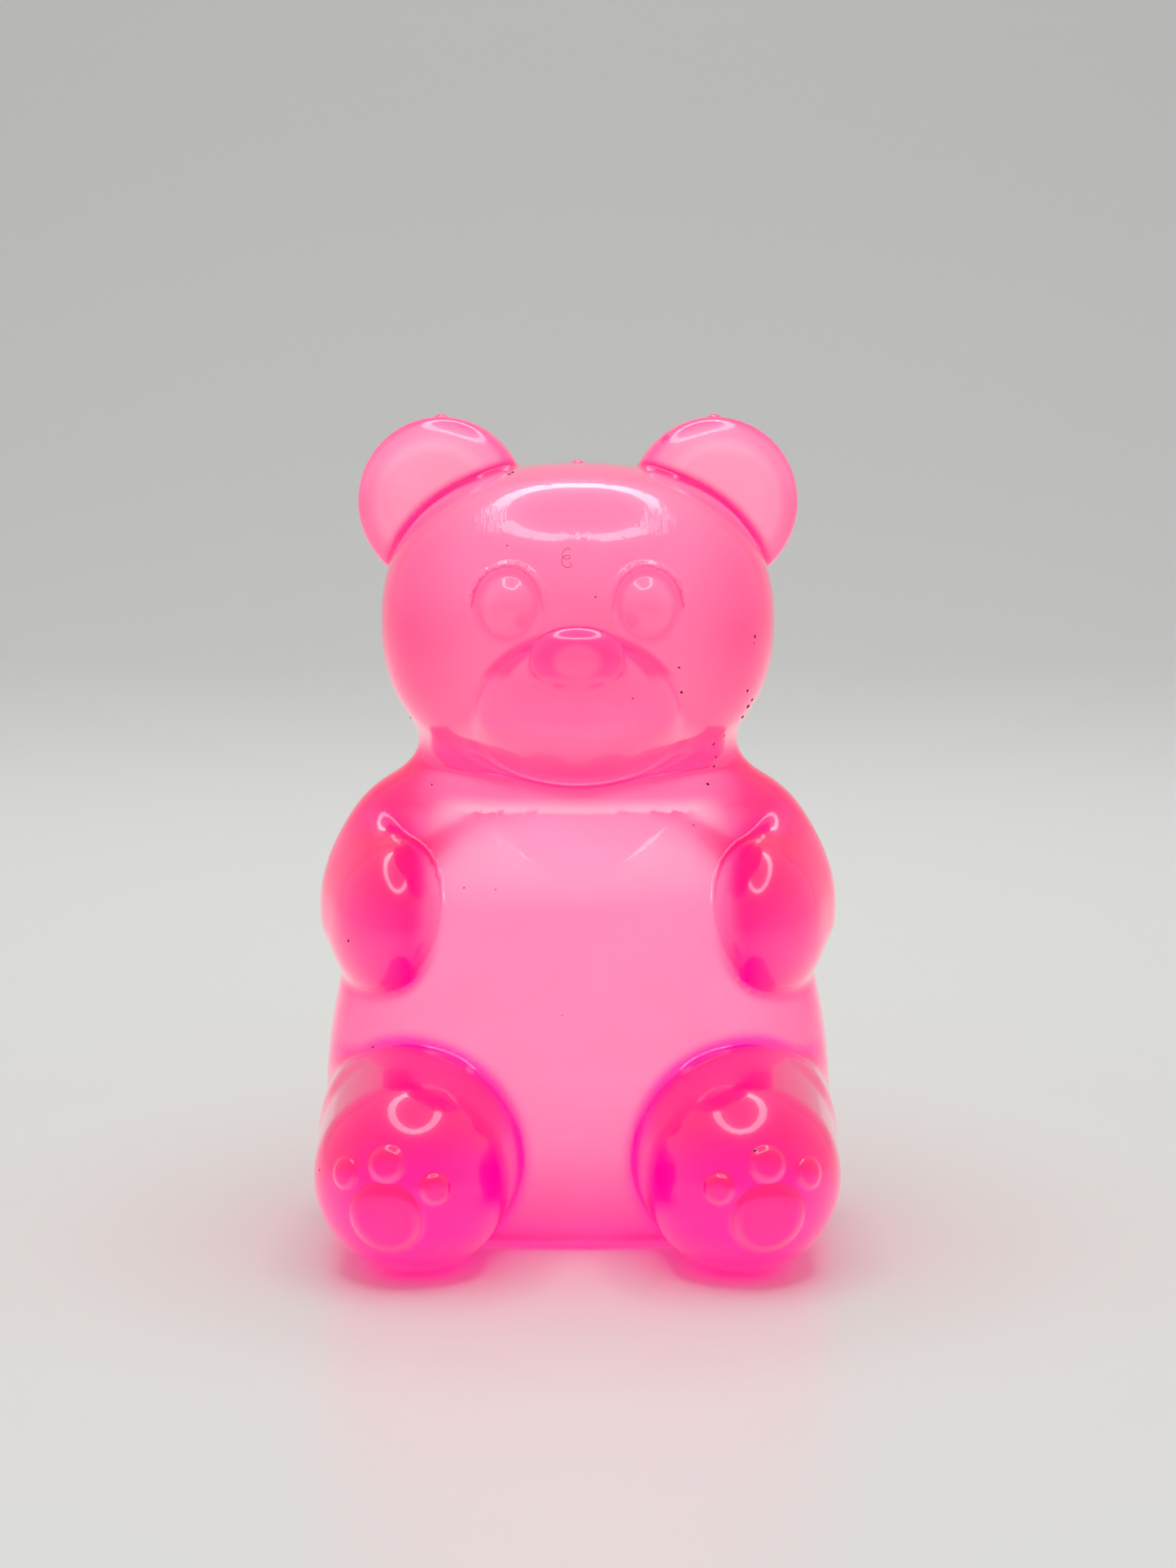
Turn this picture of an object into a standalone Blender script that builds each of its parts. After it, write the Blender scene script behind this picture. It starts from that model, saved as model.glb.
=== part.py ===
"""A seated gummy bear, one solid of clear pink gel, about 49 mm tall.

Modelled in metres with +Z up. The origin lies under the middle of the bear's box, on the
surface that it sits on. The bear faces -Y, and +X is on the right of a viewer in front.
All sizes below are in millimetres and become metres through MM. Depths are measured from
the torso's axis, which stands TORSO_AXIS_Y behind the origin.
"""
import math

import bmesh
import bpy
from mathutils import Matrix, Vector

MM = 0.001

# Whole figure
FLAT_Z = 0.0                 # the flat underside
TORSO_AXIS_Y = 5.28          # puts the origin in the middle between toes and back
SIDES = (-1.0, 1.0)

# Torso, a pear of rounded-square sections
TORSO_HALF_WIDTH = 15.7
TORSO_WIDEST_Z = 6.5
TORSO_SIDE_RISE = 24.5       # height over which the sides close in
BELLY_DEPTH = 11.4           # from the middle of the torso to the front
BELLY_DEEPEST_Z = 8.0
BELLY_RISE = 19.7            # height over which the belly closes in
BACK_DEPTH = 9.4
BACK_DEEPEST_Z = 9.5
BACK_RISE = 20.5
BELLY_TUCK = 0.16            # share of its depth that the belly loses towards the underside
TORSO_FOOT_ROUND = 1.4       # radius of the bottom edge
TORSO_SQUARENESS = 2.3
TORSO_TOP_Z = 28.6
NECK_SHARE = 0.42            # least share of its depth that the torso keeps below the head

# Head, a rounded-square ball
HEAD_CENTRE = (0.0, -0.6, 37.05)
HEAD_HALF = (12.0, 9.9, 9.65)
HEAD_SQUARENESS = 2.3

# Ears, thick discs with a dished front
EAR_CENTRE = (8.35, 1.6, 44.15)
EAR_RADIUS = 5.25
EAR_HALF_THICKNESS = 2.3
EAR_SQUARENESS = 2.6
EAR_TURN_DEG = 12.0          # each ear turns a little outward
DISH_RADIUS = 6.4
DISH_DEPTH = 0.85

# Snout, nose and eyes
SNOUT_CENTRE = (0.0, -8.2, 32.1)
SNOUT_HALF = (6.2, 4.9, 5.85)
SNOUT_BELOW = 4.0            # its half height below the centre, which is smaller
NOSE_CENTRE = (0.0, -12.1, 35.85)
NOSE_HALF = (2.75, 1.5, 1.95)
NOSE_SQUARENESS = 2.2
EYE_CENTRE = (4.15, 38.8)    # x and z
EYE_HALF = (1.35, 0.95, 1.55)
EYE_RING_RADIUS = 2.1
EYE_RING_STRETCH = 1.15
EYE_GROOVE_RADIUS = 0.34
EYE_BURY = 0.35              # how far the eye's centre lies under the face

# Arms, bent tubes that end in round hands: x, y, z and radius along the limb
ARM_SPINE = (
    (5.6, 1.0, 27.0, 3.0),
    (8.9, 1.2, 24.9, 3.45),
    (10.8, 1.1, 23.4, 3.6),
    (11.8, 0.6, 20.8, 3.65),
    (11.7, 0.0, 19.2, 3.6),
)
HAND_CENTRE = (11.4, -3.1, 19.1)
HAND_HALF = (3.9, 6.5, 5.2)
HAND_TURN_DEG = 9.0          # each hand turns this far toward the belly

# Legs, straight tubes that taper to round feet
LEG_HIP = (9.2, -8.0, 6.3)
HIP_RADIUS = 6.3
FOOT_CENTRE = (9.6, -13.75, 5.8)
FOOT_RADIUS = 5.8
THIGH_CENTRE = (10.2, -4.6, 6.2)
THIGH_HALF = (5.3, 6.2, 5.5)
THIGH_SQUARENESS = 3.0       # fills the corner between each leg and the torso's side
SOLE_TURN_DEG = 14.0         # each sole faces this far outward

# Foot pads: offset to the outer side, offset upward and radius on the sole
HEEL_PAD = (0.0, -1.3, 2.05)
TOE_PADS = ((2.5, 1.2, 0.85), (-0.1, 1.95, 0.95), (-2.85, 0.55, 0.8))
PAD_RISE = 0.35

# Mould nubs left on the parting line: x, z and radius
NUBS = ((-8.35, 49.3, 0.3), (8.35, 49.3, 0.3), (0.0, 46.6, 0.3))

# Mesh fineness: steps around and steps from end to end
TORSO_AROUND = 48
TORSO_FOOT_STEPS = 3
TORSO_RISE_STEPS = 13
HEAD_STEPS = (40, 22)
EAR_STEPS = (30, 12)
DISH_STEPS = (26, 16)
SNOUT_STEPS = (32, 16)
NOSE_STEPS = (18, 10)
EYE_STEPS = (16, 8)
EYE_RING_STEPS = (24, 6)
ARM_STEPS = (22, 18)
HAND_STEPS = (24, 16)
LEG_STEPS = (28, 20)
THIGH_STEPS = (24, 16)
PAD_STEPS = (14, 6)
NUB_STEPS = (8, 5)
DOME_SHARE = 0.3             # share of a limb's steps that form each domed end
SPINE_STEP = 0.02            # share of a limb over which its direction is taken
FACE_STEP = 0.2              # distance over which the face's slope is taken

UNDERSIDE_BLOCK = (60.0, 60.0, 20.0)

GEL_PINK = (1.0, 0.19, 0.42, 1.0)
GEL_ROUGHNESS = 0.08
GEL_REFRACTION = 1.45


def signed_power(value, exponent):
    """Power of a number's size that keeps its sign."""
    return math.copysign(abs(value) ** exponent, value)


def new_collection(name):
    """Adds a collection to the scene."""
    collection = bpy.data.collections.new(name)
    bpy.context.scene.collection.children.link(collection)
    return collection


def add_object(name, bm, collection):
    """Makes an object from a bmesh in millimetres, shaded smooth, in metres."""
    bmesh.ops.translate(bm, vec=Vector((0.0, TORSO_AXIS_Y, 0.0)), verts=bm.verts)
    bmesh.ops.scale(bm, vec=Vector((MM, MM, MM)), verts=bm.verts)
    bmesh.ops.recalc_face_normals(bm, faces=bm.faces)
    mesh = bpy.data.meshes.new(name)
    bm.to_mesh(mesh)
    bm.free()
    mesh.shade_smooth()
    obj = bpy.data.objects.new(name, mesh)
    collection.objects.link(obj)
    return obj


def ball(steps, half, squareness=2.0, matrix=None, disc=False):
    """A sphere stretched to the given half sizes and squared off by an exponent above 2.

    A disc is squared off in its thickness only, so it stays round across Z.
    """
    bm = bmesh.new()
    bmesh.ops.create_uvsphere(bm, u_segments=steps[0], v_segments=steps[1], radius=1.0)
    for vert in bm.verts:
        parts = (math.hypot(vert.co.x, vert.co.y), vert.co.z) if disc else vert.co
        size = sum(abs(c) ** squareness for c in parts) ** (1.0 / squareness)
        vert.co = Vector([c / size * h for c, h in zip(vert.co, half)])
    if matrix is not None:
        bmesh.ops.transform(bm, matrix=matrix, verts=bm.verts)
    return bm


def spine_at(spine, along):
    """Point and radius on a smooth curve through the spine's points, along from 0 to 1."""
    place = along * (len(spine) - 1)
    index = min(int(place), len(spine) - 2)
    t = place - index
    before, start, end, after = (
        spine[min(max(index + step, 0), len(spine) - 1)] for step in (-1, 0, 1, 2))
    return [
        0.5 * (2 * b + (c - a) * t + (2 * a - 5 * b + 4 * c - d) * t * t
               + (3 * b - a - 3 * c + d) * t ** 3)
        for a, b, c, d in zip(before, start, end, after)]


def limb(steps, spine):
    """A tube with domed ends, made by sweeping the rings of a sphere along a spine."""
    bm = bmesh.new()
    bmesh.ops.create_uvsphere(bm, u_segments=steps[0], v_segments=steps[1], radius=1.0)
    for vert in bm.verts:
        share = math.acos(max(-1.0, min(1.0, vert.co.z))) / math.pi
        along = min(max((share - DOME_SHARE) / (1.0 - 2.0 * DOME_SHARE), 0.0), 1.0)
        here = spine_at(spine, along)
        near = spine_at(spine, max(along - SPINE_STEP, 0.0))
        ahead = spine_at(spine, min(along + SPINE_STEP, 1.0))
        axis = (Vector(ahead[:3]) - Vector(near[:3])).normalized()
        side = axis.cross(Vector((0.0, 1.0, 0.0))).normalized()
        depth = side.cross(axis)
        dome = min(share, DOME_SHARE, 1.0 - share) / DOME_SHARE * math.pi / 2.0
        lift = math.cos(dome) if share > 0.5 else -math.cos(dome)
        turn = math.atan2(vert.co.y, vert.co.x)
        out = side * math.cos(turn) + depth * math.sin(turn)
        vert.co = Vector(here[:3]) + (out * math.sin(dome) + axis * lift) * here[3]
    return bm


def closing(z, widest_z, rise):
    """Share of its widest size that an elliptic outline keeps at a height, down to the neck's."""
    closed = 1.0 - (max(z - widest_z, 0.0) / rise) ** 2
    return math.sqrt(max(closed, NECK_SHARE ** 2))


def torso_reach(z):
    """How far the torso reaches to the side, to the front and to the back at a height."""
    rounding = TORSO_FOOT_ROUND - math.sqrt(
        TORSO_FOOT_ROUND ** 2 - max(TORSO_FOOT_ROUND - z, 0.0) ** 2)
    low = max(BELLY_DEEPEST_Z - z, 0.0) / BELLY_DEEPEST_Z
    side = TORSO_HALF_WIDTH * closing(z, TORSO_WIDEST_Z, TORSO_SIDE_RISE)
    front = BELLY_DEPTH * closing(z, BELLY_DEEPEST_Z, BELLY_RISE) * (1.0 - BELLY_TUCK * low ** 2)
    back = BACK_DEPTH * closing(z, BACK_DEEPEST_Z, BACK_RISE)
    return side - rounding, front - rounding, back - rounding


def torso(collection):
    """The pear-shaped body, a loft of rounded-square sections up to the neck."""
    heights = [TORSO_FOOT_ROUND * (1.0 - math.cos(math.pi / 2 * i / TORSO_FOOT_STEPS))
               for i in range(TORSO_FOOT_STEPS)]
    rise = TORSO_TOP_Z - TORSO_FOOT_ROUND
    heights += [TORSO_FOOT_ROUND + rise * math.sin(math.pi / 2 * i / TORSO_RISE_STEPS)
                for i in range(TORSO_RISE_STEPS + 1)]
    bm = bmesh.new()
    power = 2.0 / TORSO_SQUARENESS
    sections = []
    for z in heights:
        side, front, back = torso_reach(z)
        section = []
        for i in range(TORSO_AROUND):
            turn = 2.0 * math.pi * i / TORSO_AROUND
            across = signed_power(math.cos(turn), power)
            ahead = signed_power(math.sin(turn), power)
            depth = front if ahead < 0.0 else back
            section.append(bm.verts.new((side * across, depth * ahead, z)))
        sections.append(section)
    for low, high in zip(sections, sections[1:]):
        for i in range(TORSO_AROUND):
            j = (i + 1) % TORSO_AROUND
            bm.faces.new((low[i], low[j], high[j], high[i]))
    bm.faces.new(sections[0])
    bm.faces.new(sections[-1])
    return add_object("gummy_bear", bm, collection)


def head(collection):
    """The head."""
    place = Matrix.Translation(HEAD_CENTRE)
    return [add_object("head", ball(HEAD_STEPS, HEAD_HALF, HEAD_SQUARENESS, place), collection)]


def ear_matrix(side):
    """Places an ear's disc, whose flat side is across Z, upright at its side of the head."""
    x, y, z = EAR_CENTRE
    turn = Matrix.Rotation(math.radians(side * EAR_TURN_DEG), 4, "Z")
    stand = Matrix.Rotation(math.pi / 2, 4, "X")
    return Matrix.Translation((side * x, y, z)) @ turn @ stand


def ears(collection):
    """Both ears: discs whose fronts a shallow ball has hollowed."""
    made = []
    half = (EAR_RADIUS, EAR_RADIUS, EAR_HALF_THICKNESS)
    lift = Matrix.Translation((0, 0, EAR_HALF_THICKNESS - DISH_DEPTH + DISH_RADIUS))
    for side in SIDES:
        place = ear_matrix(side)
        disc = ball(EAR_STEPS, half, EAR_SQUARENESS, place, disc=True)
        hollow = ball(DISH_STEPS, (DISH_RADIUS,) * 3, matrix=place @ lift)
        ear = add_object(f"ear_{side:+.0f}", disc, collection)
        join_or_cut(ear, [add_object(f"dish_{side:+.0f}", hollow, collection)], "DIFFERENCE")
        made.append(ear)
    return made


def snout(collection):
    """The broad snout and the nose on its upper edge."""
    muzzle = ball(SNOUT_STEPS, SNOUT_HALF)
    for vert in muzzle.verts:
        vert.co.z *= SNOUT_BELOW / SNOUT_HALF[2] if vert.co.z < 0.0 else 1.0
    bmesh.ops.transform(muzzle, matrix=Matrix.Translation(SNOUT_CENTRE), verts=muzzle.verts)
    nose = ball(NOSE_STEPS, NOSE_HALF, NOSE_SQUARENESS, Matrix.Translation(NOSE_CENTRE))
    return [add_object("snout", muzzle, collection), add_object("nose", nose, collection)]


def face_depth(x, z):
    """How far in front of the head's centre its surface lies at a place on the face."""
    n = HEAD_SQUARENESS
    across = abs(x - HEAD_CENTRE[0]) / HEAD_HALF[0]
    up = abs(z - HEAD_CENTRE[2]) / HEAD_HALF[2]
    return HEAD_HALF[1] * (1.0 - across ** n - up ** n) ** (1.0 / n)


def eye_matrix(side):
    """Stands an eye upright on the face, turned to the face's slope there."""
    x, z = EYE_CENTRE
    y = HEAD_CENTRE[1] - face_depth(x, z)
    apart = 2.0 * FACE_STEP
    slope = (face_depth(x - FACE_STEP, z) - face_depth(x + FACE_STEP, z)) / apart
    tip = (face_depth(x, z - FACE_STEP) - face_depth(x, z + FACE_STEP)) / apart
    turn = Matrix.Rotation(side * math.atan(slope), 4, "Z")
    lean = Matrix.Rotation(-math.atan(tip), 4, "X")
    stand = Matrix.Rotation(math.pi / 2, 4, "X")
    return Matrix.Translation((side * x, y, z)) @ turn @ lean @ stand


def eyes(collection):
    """The round eyes inside their grooves."""
    width, depth, height = EYE_HALF
    sunk = Matrix.Translation((0, 0, -EYE_BURY))
    made = []
    for side in SIDES:
        eye = ball(EYE_STEPS, (width, height, depth), matrix=eye_matrix(side) @ sunk)
        made.append(add_object(f"eye_{side:+.0f}", eye, collection))
    return made


def eye_grooves(collection):
    """Oval rings that cut the groove round each eye."""
    made = []
    around, section = EYE_RING_STEPS
    for side in SIDES:
        bm = bmesh.new()
        rows = []
        for i in range(around):
            a = 2.0 * math.pi * i / around
            row = []
            for j in range(section):
                b = 2.0 * math.pi * j / section
                reach = EYE_RING_RADIUS + EYE_GROOVE_RADIUS * math.cos(b)
                row.append(bm.verts.new((
                    reach * math.cos(a), reach * EYE_RING_STRETCH * math.sin(a),
                    EYE_GROOVE_RADIUS * math.sin(b))))
            rows.append(row)
        for i in range(around):
            low, high = rows[i], rows[(i + 1) % around]
            for j in range(section):
                k = (j + 1) % section
                bm.faces.new((low[j], low[k], high[k], high[j]))
        bmesh.ops.transform(bm, matrix=eye_matrix(side), verts=bm.verts)
        made.append(add_object(f"eye_groove_{side:+.0f}", bm, collection))
    return made


def arms(collection):
    """Both arms, the second a mirror image of the first."""
    made = []
    for side in SIDES:
        arm = limb(ARM_STEPS, [(-x, y, z, radius) for x, y, z, radius in ARM_SPINE])
        bmesh.ops.scale(arm, vec=Vector((-side, 1.0, 1.0)), verts=arm.verts)
        made.append(add_object(f"arm_{side:+.0f}", arm, collection))
    return made


def hands(collection):
    """The rounded paddles at the ends of the arms, turned a little inward."""
    made = []
    for side in SIDES:
        x, y, z = HAND_CENTRE
        place = Matrix.Translation((side * x, y, z))
        turn = Matrix.Rotation(math.radians(-side * HAND_TURN_DEG), 4, "Z")
        hand = ball(HAND_STEPS, HAND_HALF, matrix=place @ turn)
        made.append(add_object(f"hand_{side:+.0f}", hand, collection))
    return made


def legs(collection):
    """Both legs."""
    made = []
    for side in SIDES:
        spine = [(side * x, y, z, radius) for (x, y, z), radius in
                 ((LEG_HIP, HIP_RADIUS), (FOOT_CENTRE, FOOT_RADIUS))]
        made.append(add_object(f"leg_{side:+.0f}", limb(LEG_STEPS, spine), collection))
    return made


def thighs(collection):
    """The squarer roots of both legs, flush with the torso's sides."""
    made = []
    for side in SIDES:
        x, y, z = THIGH_CENTRE
        place = Matrix.Translation((side * x, y, z))
        thigh = ball(THIGH_STEPS, THIGH_HALF, THIGH_SQUARENESS, place)
        made.append(add_object(f"thigh_{side:+.0f}", thigh, collection))
    return made


def sole_matrix(side, across, up):
    """Places a pad on the foot's dome, flat against it, at an offset from the sole's middle."""
    turn = math.radians(SOLE_TURN_DEG)
    facing = Vector((side * math.sin(turn), -math.cos(turn), 0.0))
    outer = Vector((side * math.cos(turn), math.sin(turn), 0.0))
    toward = facing * math.sqrt(FOOT_RADIUS ** 2 - across ** 2 - up ** 2)
    toward += outer * across + Vector((0.0, 0.0, up))
    x, y, z = FOOT_CENTRE
    place = Matrix.Translation(Vector((side * x, y, z)) + toward)
    return place @ toward.to_track_quat("Z", "Y").to_matrix().to_4x4()


def foot_pads(collection):
    """The heel pad and three toe pads on each sole."""
    made = []
    for side in SIDES:
        for number, (across, up, radius) in enumerate((HEEL_PAD,) + TOE_PADS):
            pad = ball(PAD_STEPS, (radius, radius, PAD_RISE), matrix=sole_matrix(side, across, up))
            made.append(add_object(f"pad_{side:+.0f}_{number}", pad, collection))
    return made


def nubs(collection):
    """Small nubs of gel on the mould's parting line."""
    made = []
    for number, (x, z, radius) in enumerate(NUBS):
        y = EAR_CENTRE[1] if x else HEAD_CENTRE[1]
        place = Matrix.Translation((x, y, z))
        nub = ball(NUB_STEPS, (radius,) * 3, matrix=place)
        made.append(add_object(f"nub_{number}", nub, collection))
    return made


def floor_cutter(collection):
    """A block that trims everything below the flat underside."""
    bm = bmesh.new()
    middle = Matrix.Translation((0.0, 0.0, FLAT_Z - UNDERSIDE_BLOCK[2] / 2.0))
    place = middle @ Matrix.Diagonal((*UNDERSIDE_BLOCK, 1.0))
    bmesh.ops.create_cube(bm, size=1.0, matrix=place)
    return [add_object("underside", bm, collection)]


def join_or_cut(body, tools, operation):
    """Adds one Boolean for each tool, and shows the tools as guides only."""
    for tool in tools:
        boolean = body.modifiers.new(f"{operation.lower()} {tool.name}", "BOOLEAN")
        boolean.operation = operation
        boolean.solver = "EXACT"
        boolean.object = tool
        tool.hide_render = True
        tool.display_type = "WIRE"


def gel_material():
    """Clear pink gel with a wet gloss."""
    material = bpy.data.materials.new("pink_gel")
    material.use_nodes = True
    shader = material.node_tree.nodes["Principled BSDF"]
    shader.inputs["Base Color"].default_value = GEL_PINK
    shader.inputs["Roughness"].default_value = GEL_ROUGHNESS
    shader.inputs["Metallic"].default_value = 0.0
    shader.inputs["IOR"].default_value = GEL_REFRACTION
    material.diffuse_color = GEL_PINK
    return material


def build():
    """Clears the scene and models the bear."""
    for obj in list(bpy.data.objects):
        bpy.data.objects.remove(obj, do_unlink=True)
    bear = new_collection("gummy bear")
    guides = new_collection("guides")
    body = torso(bear)
    join_or_cut(body, head(guides), "UNION")
    join_or_cut(body, ears(guides), "UNION")
    join_or_cut(body, snout(guides), "UNION")
    join_or_cut(body, eye_grooves(guides), "DIFFERENCE")
    join_or_cut(body, eyes(guides), "UNION")
    join_or_cut(body, arms(guides), "UNION")
    join_or_cut(body, hands(guides), "UNION")
    join_or_cut(body, legs(guides), "UNION")
    join_or_cut(body, thighs(guides), "UNION")
    join_or_cut(body, foot_pads(guides), "UNION")
    join_or_cut(body, nubs(guides), "UNION")
    join_or_cut(body, floor_cutter(guides), "DIFFERENCE")
    body.data.materials.append(gel_material())


build()
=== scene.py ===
"""Looks of a seated gummy bear of clear pink gel, with the dust and lint that stick to it."""
import logging
import math
from dataclasses import dataclass, field
from enum import Enum

import bmesh
import bpy
import numpy as np
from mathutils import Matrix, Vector


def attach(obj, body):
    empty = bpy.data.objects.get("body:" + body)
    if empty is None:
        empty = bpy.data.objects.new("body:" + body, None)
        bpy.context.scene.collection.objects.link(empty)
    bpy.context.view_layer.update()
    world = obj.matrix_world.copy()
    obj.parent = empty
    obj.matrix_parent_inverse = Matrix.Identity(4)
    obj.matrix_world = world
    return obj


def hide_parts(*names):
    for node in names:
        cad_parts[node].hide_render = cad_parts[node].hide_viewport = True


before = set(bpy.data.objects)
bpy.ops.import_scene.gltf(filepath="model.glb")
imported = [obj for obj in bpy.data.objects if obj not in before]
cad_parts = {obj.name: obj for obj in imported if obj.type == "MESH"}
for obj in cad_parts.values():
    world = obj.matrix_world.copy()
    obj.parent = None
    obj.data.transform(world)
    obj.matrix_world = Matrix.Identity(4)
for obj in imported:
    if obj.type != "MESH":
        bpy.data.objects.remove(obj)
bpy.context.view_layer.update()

log = logging.getLogger("gummy_bear")

MM = 0.001
TINY = 1e-9
"""Keeps roots and divisions clear of zero."""
TORSO_AXIS_Y = 5.28
"""Millimetres from the frame's origin back to the torso's axis, from which depths are measured."""

Span = tuple[float, float]
"""Where something sets in and where it is full, in millimetres unless its name says a share."""


class LampShape(Enum):
    """Outlines of the lamps' lit faces."""

    RECTANGLE = "RECTANGLE"
    ELLIPSE = "ELLIPSE"


class Side(Enum):
    """The two mirrored sides, as the sign of X."""

    LEFT = -1.0
    RIGHT = 1.0


def linear_rgb(hex_colour: str) -> tuple[float, float, float]:
    """Turns an sRGB hex colour to linear.

    Args:
        hex_colour: six hex digits after a hash mark.

    Returns:
        Linear red, green and blue.
    """
    parts = (int(hex_colour[i:i + 2], 16) / 255.0 for i in (1, 3, 5))
    return tuple(c / 12.92 if c <= 0.04045 else ((c + 0.055) / 1.055) ** 2.4 for c in parts)


def rgba(hex_colour: str) -> tuple[float, float, float, float]:
    """Linear colour of a hex value with full alpha."""
    return (*linear_rgb(hex_colour), 1.0)


def add_node(tree: bpy.types.NodeTree, kind: str, settings: dict | None = None,
             links: dict | None = None) -> bpy.types.Node:
    """Adds one shader node with its settings and its incoming links.

    Args:
        tree: the node tree.
        kind: the node's type name.
        settings: node attributes by name, or input values by socket name.
        links: output sockets by the name or number of the input that they feed.

    Returns:
        The new node.
    """
    node = tree.nodes.new(kind)
    for name, value in (settings or {}).items():
        if hasattr(node, name):
            setattr(node, name, value)
        else:
            node.inputs[name].default_value = value
    for name, source in (links or {}).items():
        tree.links.new(source, node.inputs[name])
    return node


def ease(low: float, high: float, values: np.ndarray) -> np.ndarray:
    """Smooth step from 0 at low to 1 at high."""
    t = np.clip((values - low) / (high - low), 0.0, 1.0)
    return t * t * (3.0 - 2.0 * t)


def join(a: np.ndarray, b: np.ndarray, fillet: np.ndarray | float) -> np.ndarray:
    """Union of two distances with a fillet of the given width where they meet."""
    near = np.maximum(fillet - np.abs(a - b), 0.0) / fillet
    return np.minimum(a, b) - near * near * fillet * 0.25


def cut(a: np.ndarray, b: np.ndarray, fillet: np.ndarray | float) -> np.ndarray:
    """What is left of a after b is cut away, with a rounded edge."""
    return -join(-a, b, fillet)


def ball(p: np.ndarray, x: float, y: float, z: float, radius: float) -> np.ndarray:
    """Distance from a plain ball."""
    return np.linalg.norm(p - np.array([x, y, z]), axis=1) - radius


def place_mesh(name: str, mesh: bpy.types.Mesh | bmesh.types.BMesh) -> bpy.types.Object:
    """Puts a mesh into the scene as one object.

    Args:
        name: the object's name.
        mesh: a finished mesh, or an edit mesh, which is turned into one and freed.

    Returns:
        The object.
    """
    if isinstance(mesh, bmesh.types.BMesh):
        edited = mesh
        mesh = bpy.data.meshes.new(name)
        edited.to_mesh(mesh)
        edited.free()
    obj = bpy.data.objects.new(name, mesh)
    bpy.context.scene.collection.objects.link(obj)
    return obj


@dataclass(frozen=True)
class RoundedBall:
    """A ball stretched to three half sizes and squared off by an exponent above 2.

    It can be turned about the vertical, and its lower half can have a height of its own.
    """

    centre: tuple[float, float, float]
    half: tuple[float, float, float]
    squareness: float = 2.0
    turn_deg: float = 0.0
    below: float = 0.0

    def distance(self, p: np.ndarray) -> np.ndarray:
        """Distance from the surface along the ray from the centre, negative inside.

        Args:
            p: points in millimetres.

        Returns:
            One distance for each point.
        """
        turn = math.radians(self.turn_deg)
        along = np.array([[math.cos(turn), math.sin(turn), 0.0],
                          [-math.sin(turn), math.cos(turn), 0.0], [0.0, 0.0, 1.0]])
        rel = (p - np.array(self.centre)) @ along.T
        half = np.tile(self.half, (len(p), 1))
        if self.below > 0.0:
            half[rel[:, 2] < 0.0, 2] = self.below
        gauge = (np.abs(rel / half) ** self.squareness).sum(axis=1)
        gauge = np.maximum(gauge, TINY) ** (1.0 / self.squareness)
        return np.linalg.norm(rel, axis=1) * (1.0 - 1.0 / gauge)


@dataclass(frozen=True)
class Placed:
    """A shape with its own upright frame: across, up and out of the surface."""

    centre: tuple[float, float, float]
    across: tuple[float, float, float]
    up: tuple[float, float, float]

    def local(self, p: np.ndarray) -> np.ndarray:
        """Points in the frame's own coordinates.

        Args:
            p: points in millimetres.

        Returns:
            How far each lies across, up and out from the centre.
        """
        u, v = np.array(self.across), np.array(self.up)
        w = np.cross(u, v)
        rel = p - np.array(self.centre)
        return np.stack([rel @ u, rel @ v, rel @ w], axis=1)


@dataclass(frozen=True)
class Ear(Placed):
    """A thick disc with a round rim and a dished front."""

    radius: float = 5.25
    half_thickness: float = 2.3
    squareness: float = 2.6
    dish_radius: float = 6.4
    dish_depth: float = 0.85
    dish_fillet: float = 0.5

    def distance(self, p: np.ndarray) -> np.ndarray:
        """Distance from the dished disc.

        Args:
            p: points in millimetres.

        Returns:
            One distance for each point.
        """
        rel = self.local(p)
        n = self.squareness
        reach = np.hypot(rel[:, 0], rel[:, 1])
        gauge = (reach / self.radius) ** n + (np.abs(rel[:, 2]) / self.half_thickness) ** n
        gauge = np.maximum(gauge, TINY) ** (1.0 / n)
        disc = np.linalg.norm(rel, axis=1) * (1.0 - 1.0 / gauge)
        middle = self.half_thickness - self.dish_depth + self.dish_radius
        dish = ball(rel, 0.0, 0.0, middle, self.dish_radius)
        return cut(disc, dish, self.dish_fillet)


@dataclass(frozen=True)
class Pad(Placed):
    """A low round pad that follows the foot's dome."""

    radius: float = 1.0
    dome_radius: float = 5.8
    rise: float = 0.24
    squareness: float = 3.0

    def distance(self, p: np.ndarray) -> np.ndarray:
        """Distance from the pad, measured as if the dome were flat.

        Args:
            p: points in millimetres.

        Returns:
            One distance for each point.
        """
        rel = self.local(p)
        reach = np.hypot(rel[:, 0], rel[:, 1])
        lift = rel[:, 2] + reach ** 2 / (2.0 * self.dome_radius)
        n = self.squareness
        gauge = (reach / self.radius) ** n + (np.abs(lift) / self.rise) ** n
        gauge = np.maximum(gauge, TINY) ** (1.0 / n)
        return np.hypot(reach, lift) * (1.0 - 1.0 / gauge)


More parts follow.
